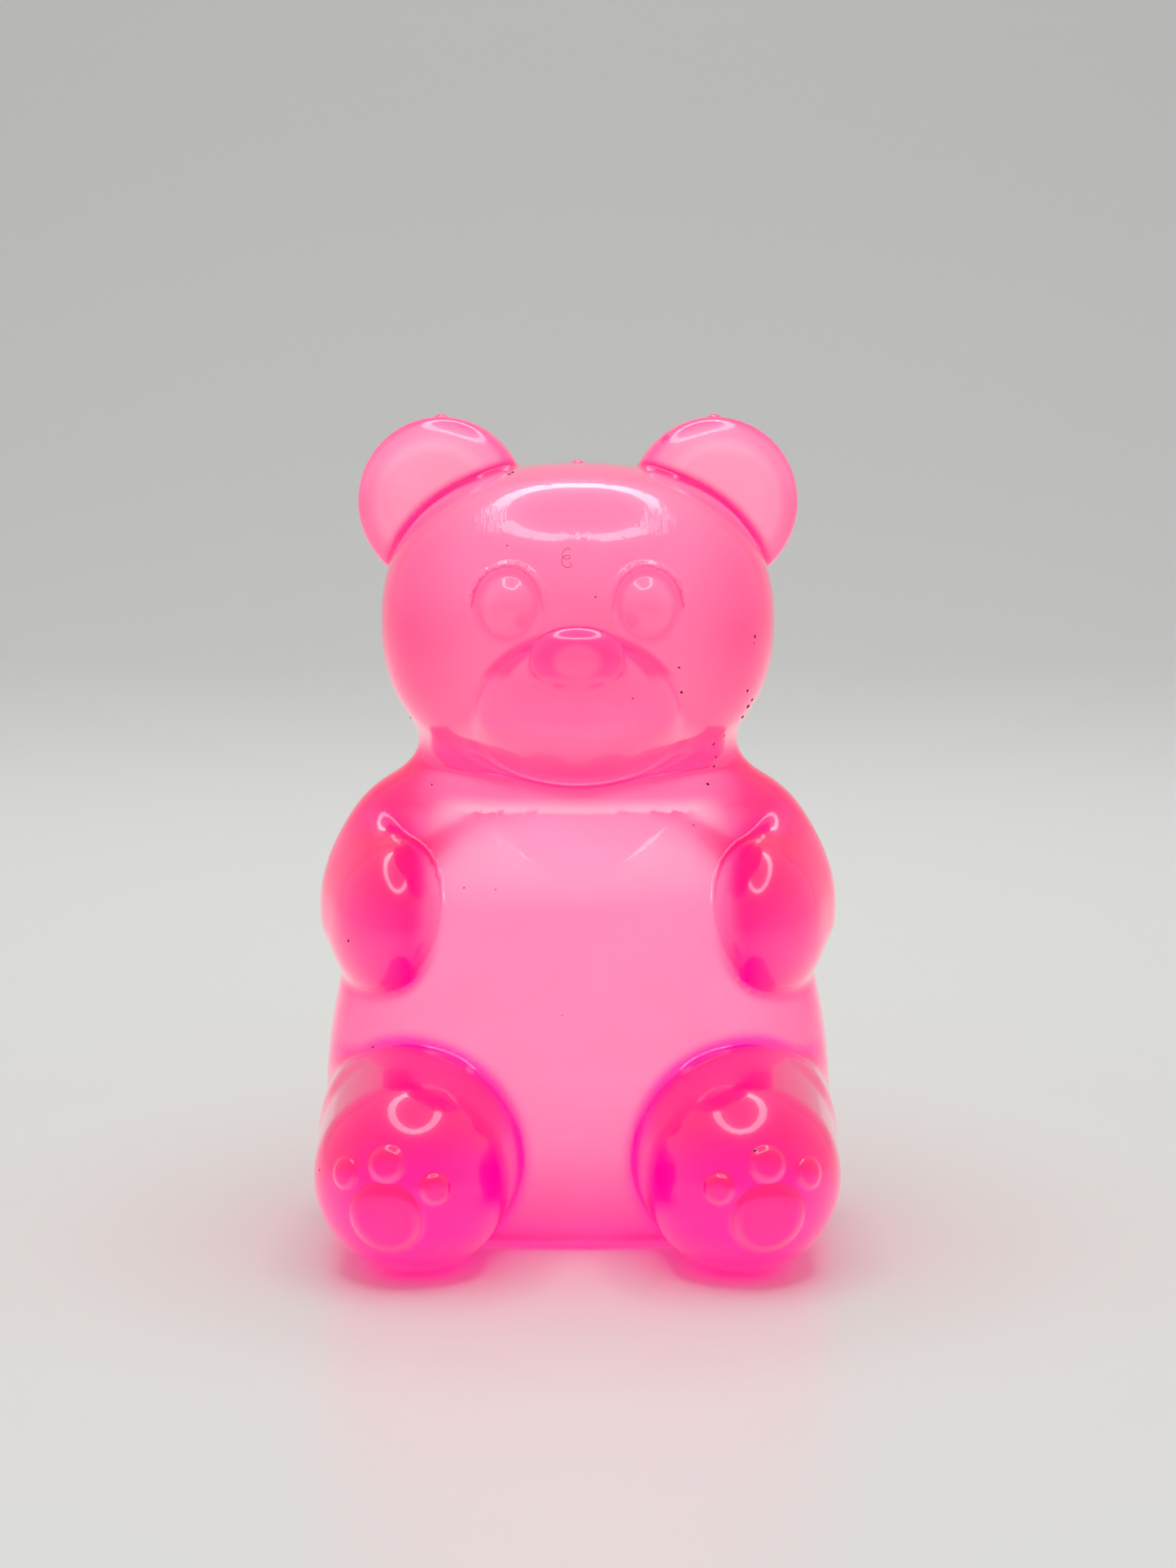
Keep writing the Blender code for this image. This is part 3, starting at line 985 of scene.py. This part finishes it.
    def lay_legs(self, tint: "Tint", p: np.ndarray) -> None:
        """Tints the legs and feet, and the torso's corners by the thighs, with painted light making
        the outer rims of the feet paler.

        Args:
            tint: the tints so far, changed in place.
            p: points in millimetres.
        """
        x, y, z = p.T
        side = np.abs(x)
        span = self.spans
        leg = np.minimum.reduce([limb.distance(p) for limb in self.legs + self.thighs])
        on_leg = 1.0 - ease(*span.leg_near, leg)
        thigh = ease(*span.thigh_down, z) * ease(*span.thigh, side) * ease(*span.thigh_front, y)
        tint.lay(GelTints.thigh, thigh)
        tint.lay(GelTints.foot, on_leg)
        tint.lay(GelTints.foot_top, on_leg * ease(*span.foot_top_up, z))
        tint.lay(GelTints.foot_low, on_leg * ease(*span.foot_low_down, z))
        # painted light: the foot paler along its outer rim
        tint.lay(GelTints.foot_rim_light, on_leg * ease(*span.foot_rim_light, side))

    def lay_pads(self, tint: "Tint", p: np.ndarray) -> None:
        """Deepens the pads and draws a paler line of painted light round their lower edges.

        Args:
            tint: the tints so far, changed in place.
            p: points in millimetres.
        """
        span = self.spans
        for pad in self.pads:
            rel = pad.local(p)
            reach = np.linalg.norm(rel, axis=1) / pad.radius
            tint.lay(GelTints.pad, span.pad_share * (1.0 - ease(*span.pad_reach_share, reach)))
            # painted light: a paler line round the pad's lower edge
            lower = ease(*span.pad_edge_down_share, rel[:, 1] / pad.radius)
            line = 1.0 - ease(*span.pad_line_share, np.abs(reach - span.pad_edge_share))
            tint.lay(GelTints.pad_edge_light, lower * line)

    def scuffs(self, p: np.ndarray) -> np.ndarray:
        """Scratching at both ends of the brow and on the left of the chest.

        Args:
            p: points in millimetres.

        Returns:
            The share of scratching at each point.
        """
        scuff = np.zeros(len(p))
        for x, y, z, reach in self.scuff_places:
            away = ball(p, x, y, z, 0.0)
            scuff = np.maximum(scuff, 1.0 - ease(self.scuff_core * reach, reach, away))
        return scuff

    def build(self) -> bpy.types.Object:
        """Makes the bear's mesh with its normals and its gel tints.

        Returns:
            The bear.
        """
        mesh = self.starting_mesh()
        p = self.settle(mesh, 4)
        self.refine(mesh, self.near_details(p))
        p = self.settle(mesh, 2)
        self.refine(mesh, self.near_fine_details(p))
        p = self.settle(mesh, 2)
        slope = self.gradient(p)
        normals = slope / np.maximum(np.linalg.norm(slope, axis=1), TINY)[:, None]
        colours = np.ones((len(p), 4), dtype=np.float32)
        colours[:, :3] = self.tints(p)
        # the gel tint holds the gel's own colour, with painted shade and painted light laid into it in
        # places
        attribute = mesh.attributes.new("gel_tint_and_painted_light", "FLOAT_COLOR", "POINT")
        attribute.data.foreach_set("color", colours.ravel())
        attribute = mesh.attributes.new("scuff", "FLOAT", "POINT")
        attribute.data.foreach_set("value", self.scuffs(p).astype(np.float32))
        mesh.shade_smooth()
        mesh.normals_split_custom_set_from_vertices(normals.astype(np.float32).tolist())
        bear = place_mesh(self.piece_name, mesh)
        mesh.materials.clear()
        mesh.materials.append(PinkGel().material())
        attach(bear, "root")
        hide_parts("gummy_bear")
        return bear


@dataclass(frozen=True)
class GelTints:
    """Hex tints that light takes on in each part of the gel; some are painted shade and some painted
    light, as marked.
    """

    torso: str = "#FFAECC"
    # painted shade on the torso's flanks
    flank_shade: str = "#FF74A2"
    torso_low: str = "#FF56A0"
    # painted light on the chest
    chest: str = "#FFF4FA"
    # painted light: a lilac band of bent light along the front of the base
    base: str = "#FF48C4"
    forehead: str = "#FF9CBC"
    # painted shade on the head's sides
    head_side_shade: str = "#FF4E8A"
    # painted shade on the lower head
    head_low_shade: str = "#FF6CA2"
    muzzle: str = "#FF94B4"
    # painted shade on the muzzle's upper slope
    muzzle_top_shade: str = "#FF0C80"
    # painted shade: the deep arch over the nose
    nose: str = "#FF3292"
    # painted reflection in the nose's middle
    nose_middle_reflection: str = "#FF6FA6"
    eye: str = "#FF96B6"
    # painted shade under the head
    neck: str = "#FF5C98"
    # deep gel of the arms with painted shade, on the torso's upper sides
    shoulder_side: str = "#FF4888"
    # painted shade in the crease under the chin
    under_chin_shade: str = "#FF3884"
    # deep gel of the arms with painted shade, on the shoulders' tops
    shoulder: str = "#FF0058"
    thigh: str = "#FF10A0"
    # painted shade in the groove round each eye
    socket: str = "#FF7AAA"
    ear: str = "#F2D4E2"
    ear_rim: str = "#FFA4C2"
    # painted shade along the ears' outer edges
    ear_edge_shade: str = "#FF74AA"
    # painted shade in the creases between the ears and the head
    crease: str = "#FF0A80"
    arm: str = "#FF2286"
    arm_inner: str = "#FF0084"
    # painted light along the arms' outer edges
    arm_edge_light: str = "#FF4086"
    foot: str = "#FF00B0"
    foot_top: str = "#FF00C0"
    foot_low: str = "#FF10A8"
    # painted light along the feet's outer rims
    foot_rim_light: str = "#FF30A4"
    # painted light round the pads' lower edges
    pad_edge_light: str = "#FF50A4"
    pad: str = "#FF0092"


class Tint:
    """A colour for each point, laid down zone by zone."""

    def __init__(self, count: int, hex_colour: str) -> None:
        """Starts every point with one colour."""
        self.rgb = np.tile(np.array(linear_rgb(hex_colour)), (count, 1))

    def lay(self, hex_colour: str, share: np.ndarray) -> None:
        """Mixes a colour in by a share for each point."""
        self.rgb += share[:, None] * (np.array(linear_rgb(hex_colour)) - self.rgb)


@dataclass(frozen=True)
class PinkGel:
    """Oil-filled clear rubber gel, cast in a polished mould.

    The polish gives the eye sharp lamp rings on a wet coat. The oil bends light as it passes, and
    the rubber scatters a little of it, so thick limbs look deep and the belly looks filled. A weak
    glow stands for the light that bounces about inside. The cloud's patches are 3 to 5 mm wide,
    as in gel that was stirred. The scratches are upright, 0.2 mm apart and 0.06 mm deep, which is
    coarser than real ones, so that they show.
    """

    glow: str = "#FF0088"
    glow_strength: float = 0.3
    roughness: float = 0.26
    inner_shine: float = 0.12
    polish: float = 0.05
    refraction: float = 1.45
    clearness: float = 0.9
    scatter: float = 0.5
    scatter_depth: float = 0.003
    scatter_reach: tuple[float, float, float] = (1.0, 0.35, 0.5)
    cloud_per_mm: tuple[float, float, float] = (0.22, 0.22, 0.3)
    cloud_detail: float = 2.0
    cloud_noise: tuple[float, float] = (0.3, 0.7)
    cloud_range: tuple[float, float] = (0.94, 1.05)
    scratches_per_mm: tuple[float, float, float] = (4.5, 2.0, 0.8)
    scratch_detail: float = 3.0
    scratch_depth: float = 0.00006

    def pattern(self, tree: bpy.types.NodeTree, per_mm: tuple[float, float, float],
                detail: float) -> bpy.types.NodeSocket:
        """A noise pattern laid over the gel.

        Args:
            tree: the node tree.
            per_mm: how often it repeats in a millimetre along each axis.
            detail: how many finer layers it holds.

        Returns:
            The socket with the pattern's value.
        """
        place = add_node(tree, "ShaderNodeTexCoord").outputs["Object"]
        scaled = add_node(tree, "ShaderNodeMapping", links={"Vector": place})
        scaled.inputs["Scale"].default_value = [value / MM for value in per_mm]
        noise = add_node(tree, "ShaderNodeTexNoise", {"Scale": 1.0, "Detail": detail},
                         {"Vector": scaled.outputs["Vector"]})
        return noise.outputs["Fac"]

    def material(self) -> bpy.types.Material:
        """The gel: wet gloss outside, light passing and scattering inside.

        Returns:
            The material.
        """
        material = bpy.data.materials.new("clear_rubber_gel_moulded")
        material.use_nodes = True
        tree = material.node_tree
        tree.nodes.clear()
        # the per-point gel tint, with painted shade and painted light laid into it in places
        tint = add_node(tree, "ShaderNodeAttribute", {"attribute_name": "gel_tint_and_painted_light"})
        cloud = self.pattern(tree, self.cloud_per_mm, self.cloud_detail)
        cloudiness = add_node(tree, "ShaderNodeMapRange", {
            "From Min": self.cloud_noise[0], "From Max": self.cloud_noise[1],
            "To Min": self.cloud_range[0], "To Max": self.cloud_range[1],
        }, {"Value": cloud}).outputs["Result"]
        colour = add_node(tree, "ShaderNodeVectorMath", {"operation": "MULTIPLY"},
                          {0: tint.outputs["Color"], 1: cloudiness}).outputs["Vector"]
        scuff = add_node(tree, "ShaderNodeAttribute", {"attribute_name": "scuff"})
        scratches = self.pattern(tree, self.scratches_per_mm, self.scratch_detail)
        height = add_node(tree, "ShaderNodeMath", {"operation": "MULTIPLY"},
                          {0: scratches, 1: scuff.outputs["Fac"]}).outputs["Value"]
        normal = add_node(tree, "ShaderNodeBump", {
            "Strength": 1.0, "Distance": self.scratch_depth},
            {"Height": height}).outputs["Normal"]
        shader = add_node(tree, "ShaderNodeBsdfPrincipled", {
            "Roughness": self.roughness, "IOR": self.refraction,
            "Specular IOR Level": self.inner_shine, "Coat Weight": 1.0,
            "Coat Roughness": self.polish, "Coat IOR": self.refraction,
            "Transmission Weight": self.clearness, "Subsurface Weight": self.scatter,
            "Subsurface Radius": self.scatter_reach, "Subsurface Scale": self.scatter_depth,
            "Emission Color": rgba(self.glow), "Emission Strength": self.glow_strength,
        }, {"Base Color": colour, "Normal": normal, "Coat Normal": normal})
        add_node(tree, "ShaderNodeOutputMaterial", links={"Surface": shader.outputs["BSDF"]})
        return material


@dataclass(frozen=True)
class DryFinish:
    """A dry, dull material of one colour."""

    name: str
    colour: str
    roughness: float

    def material(self) -> bpy.types.Material:
        """The finish as a material.

        Returns:
            The material.
        """
        material = bpy.data.materials.new(self.name)
        material.use_nodes = True
        shader = material.node_tree.nodes["Principled BSDF"]
        shader.inputs["Base Color"].default_value = rgba(self.colour)
        shader.inputs["Roughness"].default_value = self.roughness
        return material


DUST_GRAINS = DryFinish("dust_grains_dry", "#2E1216", 0.9)
"""House dust, settled dry: dark dots with no glint, tinged by the gel under them."""
LINT_THREAD = DryFinish("lint_dyed_pink", "#B0486C", 0.7)
"""Dyed textile fibre, spun and then shed: a soft line a shade deeper than the gel."""


@dataclass(frozen=True)
class Dust:
    """Dark specks that stick to the gel, at places seen from the front."""

    places: tuple[tuple[float, float, float], ...]
    thinness: float = 0.55
    stretch: float = 0.5
    unevenness: float = 0.25
    seed: int = 7
    piece_name: str = "dust_specks"

    def build(self, bear: GelBear) -> bpy.types.Object:
        """Sets flattened grains on the surface.

        Args:
            bear: the bear whose field they rest on.

        Returns:
            The joined specks.
        """
        rng = np.random.default_rng(self.seed)
        bm = bmesh.new()
        for x, z, radius in self.places:
            point, normal = bear.surface_at(x, z)
            turn = Vector((0.0, 0.0, 1.0)).rotation_difference(Vector(normal)).to_matrix()
            made = bmesh.ops.create_icosphere(bm, subdivisions=1, radius=1.0)
            stretch = 1.0 + self.stretch * rng.random()
            for vert in made["verts"]:
                rough = 1.0 + self.unevenness * (rng.random() - 0.5)
                local = Vector((vert.co.x * stretch, vert.co.y, vert.co.z * self.thinness))
                vert.co = (turn @ (local * rough * radius) + Vector(point)) * MM
        specks = place_mesh(self.piece_name, bm)
        specks.data.materials.append(DUST_GRAINS.material())
        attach(specks, "root")
        return specks


@dataclass(frozen=True)
class Fibre:
    """A fine curl of lint stuck to the brow, a round thread along a wavy line."""

    centre: tuple[float, float] = (-0.65, 42.0)
    loop_radius: float = 0.3
    loop_shares: tuple[float, float] = (0.7, 1.2)
    flatness: float = 0.75
    turns: float = 2.1
    drop: float = 0.9
    waver: float = 0.05
    waves: float = 11.0
    thread_radius: float = 0.018
    lift: float = 0.8
    steps: int = 60
    sides: int = 5
    piece_name: str = "lint_fibre"

    def line(self, bear: GelBear) -> list[Vector]:
        """Points of two loops, one above the other, lying on the surface.

        Args:
            bear: the bear whose field it rests on.

        Returns:
            The points in millimetres.
        """
        first, last = self.loop_shares
        made = []
        for i in range(self.steps):
            t = i / (self.steps - 1)
            angle = 2.0 * math.pi * self.turns * t
            radius = self.loop_radius * (first + (last - first) * t)
            x = self.centre[0] + radius * math.cos(angle) + self.waver * math.sin(self.waves * t)
            z = self.centre[1] + self.flatness * radius * math.sin(angle) - self.drop * t
            point, normal = bear.surface_at(x, z)
            made.append(Vector(point) + Vector(normal) * self.thread_radius * self.lift)
        return made

    def build(self, bear: GelBear) -> bpy.types.Object:
        """Sweeps the thread along its line.

        Args:
            bear: the bear whose field it rests on.

        Returns:
            The fibre.
        """
        line = self.line(bear)
        bm = bmesh.new()
        rings = []
        for i, point in enumerate(line):
            along = (line[min(i + 1, len(line) - 1)] - line[max(i - 1, 0)]).normalized()
            across = along.cross(Vector((0.0, -1.0, 0.2))).normalized()
            lift = along.cross(across)
            rings.append([bm.verts.new((point + self.thread_radius * (
                across * math.cos(2 * math.pi * k / self.sides)
                + lift * math.sin(2 * math.pi * k / self.sides))) * MM)
                for k in range(self.sides)])
        for low, high in zip(rings, rings[1:]):
            for k in range(self.sides):
                n = (k + 1) % self.sides
                bm.faces.new((low[k], low[n], high[n], high[k]))
        bm.faces.new(rings[0][::-1])
        bm.faces.new(rings[-1])
        bmesh.ops.recalc_face_normals(bm, faces=bm.faces)
        fibre = place_mesh(self.piece_name, bm)
        fibre.data.shade_smooth()
        fibre.data.materials.append(LINT_THREAD.material())
        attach(fibre, "root")
        return fibre


@dataclass(frozen=True)
class WhiteCard:
    """Smooth white card, pressed and uncoated.

    It gives the eye a pale ground with a faint sheen; its colour is painted lighter towards the back,
    as painted light on the backdrop.
    """

    colour: str = "#EBEDE9"
    # painted light: the far colour is lighter, so the backdrop is lighter towards the back
    far_painted_light: str = "#FCFCFA"
    fade: tuple[float, float] = (0.0, 0.2)
    roughness: float = 0.35

    def material(self) -> bpy.types.Material:
        """The card, with its colour fading to a lighter one over a depth in metres, as painted light
        towards the back.

        Returns:
            The material.
        """
        material = bpy.data.materials.new("white_card_smooth")
        material.use_nodes = True
        tree = material.node_tree
        place = add_node(tree, "ShaderNodeTexCoord").outputs["Object"]
        depth = add_node(tree, "ShaderNodeSeparateXYZ", links={"Vector": place}).outputs["Y"]
        near, far = self.fade
        share = add_node(tree, "ShaderNodeMapRange", {
            "From Min": near, "From Max": far, "interpolation_type": "SMOOTHSTEP"},
            {"Value": depth}).outputs["Result"]
        shade = add_node(tree, "ShaderNodeMix", {"data_type": "RGBA"}, {0: share})
        shade.inputs[6].default_value = rgba(self.colour)
        # painted light: the card lighter towards the back
        shade.inputs[7].default_value = rgba(self.far_painted_light)
        shader = tree.nodes["Principled BSDF"]
        tree.links.new(shade.outputs[2], shader.inputs["Base Color"])
        shader.inputs["Roughness"].default_value = self.roughness
        return material


@dataclass(frozen=True)
class PaperFloor:
    """White card on the table, swept up behind the bear, in metres."""

    half_width: float = 0.6
    front: float = -0.5
    bend_start: float = 0.34
    bend_radius: float = 0.16
    bend_steps: int = 24
    top: float = 0.6

    def build(self) -> bpy.types.Object:
        """The floor and backdrop as one swept sheet.

        Returns:
            The sheet.
        """
        profile = [(self.front, 0.0), (self.bend_start, 0.0)]
        for i in range(1, self.bend_steps + 1):
            a = math.pi / 2 * i / self.bend_steps
            profile.append((self.bend_start + self.bend_radius * math.sin(a),
                            self.bend_radius * (1.0 - math.cos(a))))
        profile.append((self.bend_start + self.bend_radius, self.top))
        bm = bmesh.new()
        rows = [[bm.verts.new((x, y, z)) for x in (-self.half_width, self.half_width)]
                for y, z in profile]
        for low, high in zip(rows, rows[1:]):
            bm.faces.new((low[0], low[1], high[1], high[0]))
        floor = place_mesh("paper_floor", bm)
        floor.data.shade_smooth()
        floor.data.materials.append(WhiteCard().material())
        return floor


@dataclass(frozen=True)
class Studio:
    """A ring lamp overhead, soft fill all round, and the camera, in metres and watts."""

    camera_distance: float = 0.200
    camera_height: float = 0.055
    camera_offset: float = 0.00062
    camera_pitch_deg: float = 8.0
    lens_mm: float = 75.1
    sensor_mm: float = 36.0
    nearest: float = 0.01
    ring_height: float = 0.27
    ring_radii: tuple[float, float] = (0.1, 0.14)
    ring_width: float = 0.036
    ring_lamps: int = 16
    ring_power: float = 0.41
    panel_power: float = 0.02
    panel_lift: float = 0.005
    fill: float = 0.57
    fill_front: float = 0.36
    fill_turn: tuple[float, float] = (-0.9, 0.1)

    def camera(self) -> bpy.types.Object:
        """A short telephoto a little above the bear.

        Returns:
            The camera.
        """
        data = bpy.data.cameras.new("camera")
        data.lens = self.lens_mm
        data.sensor_width = self.sensor_mm
        data.clip_start = self.nearest
        camera = bpy.data.objects.new("camera", data)
        camera.location = (self.camera_offset, TORSO_AXIS_Y * MM - self.camera_distance,
                           self.camera_height)
        camera.rotation_euler = (math.radians(90.0 - self.camera_pitch_deg), 0.0, 0.0)
        bpy.context.scene.collection.objects.link(camera)
        bpy.context.scene.camera = camera
        return camera

    def lamp(self, name: str, shape: LampShape, size: tuple[float, float], power: float,
             place: tuple[float, float, float], turn: float = 0.0) -> bpy.types.Object:
        """One flat lamp that faces down.

        Args:
            name: the lamp's name.
            shape: outline of the lit face.
            size: its width and length in metres.
            power: watts.
            place: its centre.
            turn: turn about the vertical in radians.

        Returns:
            The lamp.
        """
        data = bpy.data.lights.new(name, "AREA")
        data.shape = shape.value
        data.size, data.size_y = size
        data.energy = power
        lamp = bpy.data.objects.new(name, data)
        lamp.location = place
        lamp.rotation_euler = (0.0, 0.0, turn)
        bpy.context.scene.collection.objects.link(lamp)
        return lamp

    def ring(self) -> None:
        """Flat lamps set edge to edge in an oval over the bear, with a dim panel inside."""
        across, along = self.ring_radii
        for i in range(self.ring_lamps):
            turn = 2.0 * math.pi * i / self.ring_lamps
            place = Vector((across * math.cos(turn), along * math.sin(turn), self.ring_height))
            tangent = Vector((-across * math.sin(turn), along * math.cos(turn)))
            length = 2.0 * tangent.length * math.tan(math.pi / self.ring_lamps)
            self.lamp(f"ring_lamp_{i}", LampShape.RECTANGLE, (length, self.ring_width),
                      self.ring_power / self.ring_lamps, place,
                      math.atan2(tangent.y, tangent.x))
        self.lamp("ring_panel", LampShape.ELLIPSE, (2.0 * across, 2.0 * along), self.panel_power,
                  (0.0, 0.0, self.ring_height + self.panel_lift))

    def build(self) -> None:
        """Sets up the camera, the lamps, the fill and the plain view of colours."""
        self.camera()
        self.ring()
        self.soft_fill()
        bpy.context.scene.view_settings.view_transform = "Standard"

    def soft_fill(self) -> None:
        """Lights the air all round, a little less from the camera's side."""
        world = bpy.data.worlds.new("soft_fill")
        bpy.context.scene.world = world
        world.use_nodes = True
        tree = world.node_tree
        direction = add_node(tree, "ShaderNodeTexCoord").outputs["Generated"]
        depth = add_node(tree, "ShaderNodeSeparateXYZ", links={"Vector": direction}).outputs["Y"]
        front, back = self.fill_turn
        strength = add_node(tree, "ShaderNodeMapRange", {
            "From Min": front, "From Max": back, "To Min": self.fill_front, "To Max": self.fill,
            "interpolation_type": "SMOOTHSTEP"}, {"Value": depth}).outputs["Result"]
        background = tree.nodes["Background"]
        background.inputs["Color"].default_value = rgba("#FFFFFF")
        tree.links.new(strength, background.inputs["Strength"])


SPECKS = (
    (10.5, 32.6, 0.10), (10.25, 32.2, 0.13), (9.95, 31.5, 0.11), (8.85, 30.4, 0.08),
    (8.2, 29.9, 0.11), (8.4, 28.9, 0.08), (8.3, 28.3, 0.08), (10.15, 33.3, 0.09),
    (10.55, 36.6, 0.09), (10.5, 36.2, 0.06), (5.95, 35.1, 0.06), (6.1, 33.6, 0.08),
    (1.05, 39.3, 0.05), (3.2, 33.6, 0.05), (7.9, 27.3, 0.09), (10.1, 8.5, 0.09),
    (-13.7, 18.5, 0.09), (-12.3, 12.0, 0.08), (-6.8, 21.6, 0.06), (-4.9, 21.6, 0.05),
    (-3.9, 46.2, 0.11), (-4.1, 46.1, 0.09), (-10.2, 31.2, 0.07), (-8.9, 27.2, 0.06),
    (7.0, 25.0, 0.05), (-0.9, 14.6, 0.04), (-4.1, 42.2, 0.05), (-14.9, 6.6, 0.07),
)
"""Across, up and radius of each speck of dust, in millimetres."""


def report(name: str, obj: bpy.types.Object) -> None:
    """Logs a piece's name and its count of triangles."""
    obj.data.calc_loop_triangles()
    log.info("%s: %d triangles", name, len(obj.data.loop_triangles))


def main() -> None:
    """Builds the stage and the bear."""
    logging.basicConfig(level=logging.INFO, format="%(name)s: %(message)s")
    Studio().build()
    PaperFloor().build()
    bear = GelBear()
    report("bear", bear.build())
    report("specks", Dust(SPECKS).build(bear))
    report("fibre", Fibre().build(bear))


if __name__ == "__main__":
    main()
